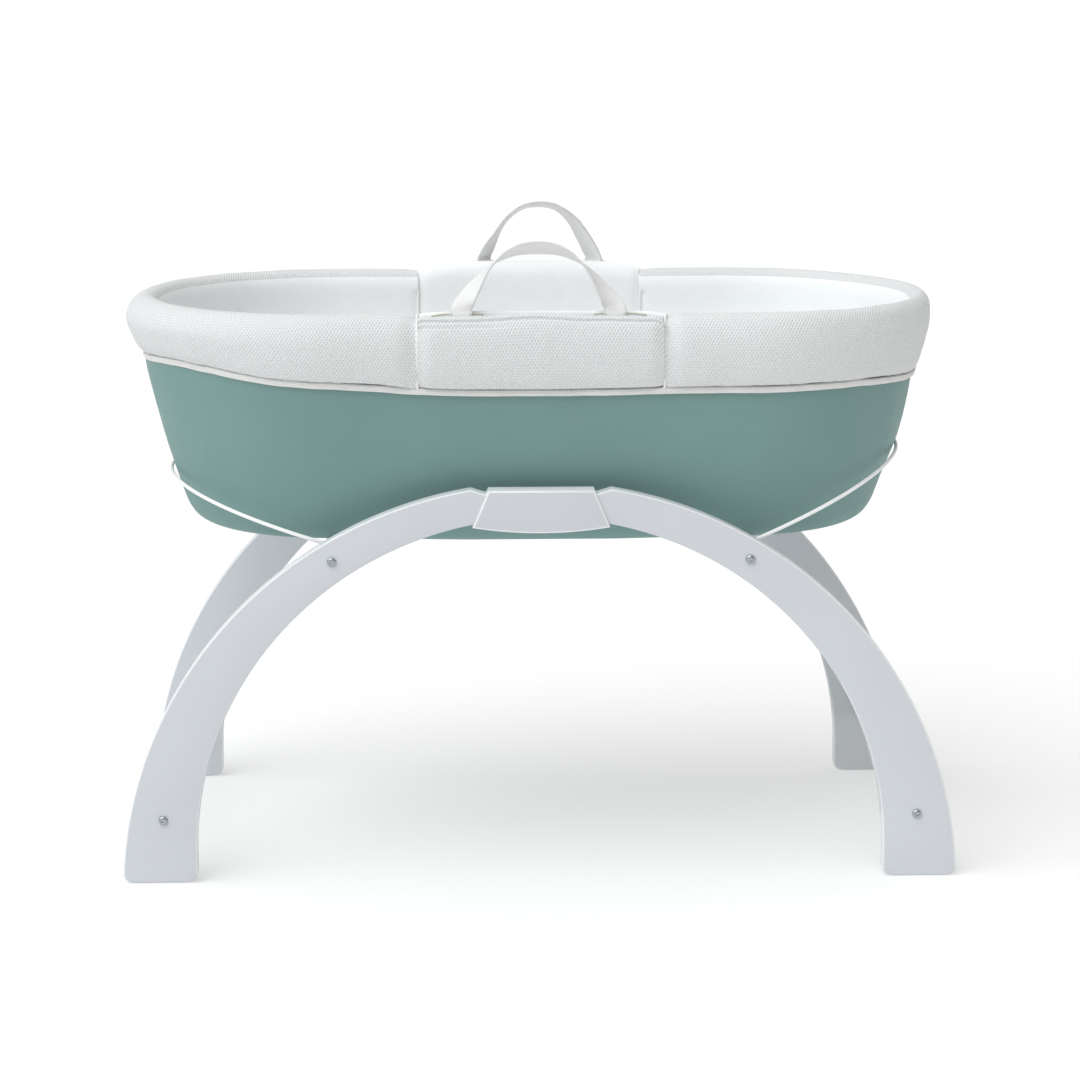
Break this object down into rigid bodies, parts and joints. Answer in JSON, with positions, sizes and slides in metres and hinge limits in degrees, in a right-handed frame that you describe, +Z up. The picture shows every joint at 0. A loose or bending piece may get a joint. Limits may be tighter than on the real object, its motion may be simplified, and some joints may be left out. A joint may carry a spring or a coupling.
{
  "type": "moses basket on arch stand",
  "caption": "Oval moulded moses basket with a padded mesh liner and two fold-down strap handles, resting on cross rails between two bolted arch boards.",
  "frame": {"origin": "on the floor under the middle of the stand, at the bottom centre of the whole object", "axes": "+X along the basket's length, -Y the front, +Z up"},
  "size_m": [0.8026, 0.4104, 0.6135],
  "materials": {
    "stand_board": "white satin lacquer on a wood board",
    "bridge_plastic": "white satin moulded plastic",
    "white_steel": "white powder coat",
    "fastener_steel": "zinc plated",
    "insert_brass": "bare brass",
    "foot_pad": "matt grey rubber",
    "shell_plastic": "matt sage green moulded plastic",
    "base_fibreboard": "bare fibreboard",
    "liner_mesh": "white padded air mesh",
    "hem_binding": "white elastic binding",
    "strap_webbing": "white woven webbing",
    "mattress_ticking": "off-white quilted cover"
  },
  "bodies": {
    "stand": {"front_left_leg": "stand_board", "front_left_foot_pad": "foot_pad", "front_left_bridge_screw": "fastener_steel", "front_left_upper_bolt": "fastener_steel", "front_left_upper_insert": "insert_brass", "front_left_lower_bolt": "fastener_steel", "front_left_lower_insert": "insert_brass", "front_right_leg": "stand_board", "front_right_foot_pad": "foot_pad", "front_right_bridge_screw": "fastener_steel", "front_right_upper_bolt": "fastener_steel", "front_right_upper_insert": "insert_brass", "front_right_lower_bolt": "fastener_steel", "front_right_lower_insert": "insert_brass", "front_bridge": "bridge_plastic", "rear_left_leg": "stand_board", "rear_left_foot_pad": "foot_pad", "rear_left_bridge_screw": "fastener_steel", "rear_left_upper_bolt": "fastener_steel", "rear_left_upper_insert": "insert_brass", "rear_left_lower_bolt": "fastener_steel", "rear_left_lower_insert": "insert_brass", "rear_right_leg": "stand_board", "rear_right_foot_pad": "foot_pad", "rear_right_bridge_screw": "fastener_steel", "rear_right_upper_bolt": "fastener_steel", "rear_right_upper_insert": "insert_brass", "rear_right_lower_bolt": "fastener_steel", "rear_right_lower_insert": "insert_brass", "rear_bridge": "bridge_plastic", "left_hoop": "white_steel", "left_upper_rail": "white_steel", "left_lower_rail": "white_steel", "right_hoop": "white_steel", "right_upper_rail": "white_steel", "right_lower_rail": "white_steel"},
    "basket": {"liner_left_end": "liner_mesh", "liner_right_end": "liner_mesh", "shell": "shell_plastic", "base_board": "base_fibreboard", "liner_floor": "liner_mesh", "hem_elastic": "hem_binding", "liner_front_inner": "liner_mesh", "liner_front_panel": "liner_mesh", "front_left_strap_tail": "strap_webbing", "front_left_rivet": "fastener_steel", "front_right_strap_tail": "strap_webbing", "front_right_rivet": "fastener_steel", "liner_rear_inner": "liner_mesh", "liner_rear_panel": "liner_mesh", "rear_left_strap_tail": "strap_webbing", "rear_left_rivet": "fastener_steel", "rear_right_strap_tail": "strap_webbing", "rear_right_rivet": "fastener_steel"},
    "mattress": {"mattress": "mattress_ticking"},
    "front_handle": {"front_handle": "strap_webbing"},
    "rear_handle": {"rear_handle": "strap_webbing"}
  },
  "joints": [
    {"name": "basket_lift", "type": "slide", "parent": "stand", "child": "basket", "axis": [0, 0, 1], "range_m": [0, 0.3]},
    {"name": "mattress_lift", "type": "slide", "parent": "basket", "child": "mattress", "axis": [0, 0, 1], "range_m": [0, 0.3]},
    {"name": "front_handle_fold", "type": "hinge", "parent": "basket", "child": "front_handle", "pos_m": [0, -0.1913, 0.555], "axis": [1, 0, 0], "range_deg": [-90, 105]},
    {"name": "rear_handle_fold", "type": "hinge", "parent": "basket", "child": "rear_handle", "pos_m": [0, 0.1913, 0.566], "axis": [-1, 0, 0], "range_deg": [-85, 105]}
  ]
}
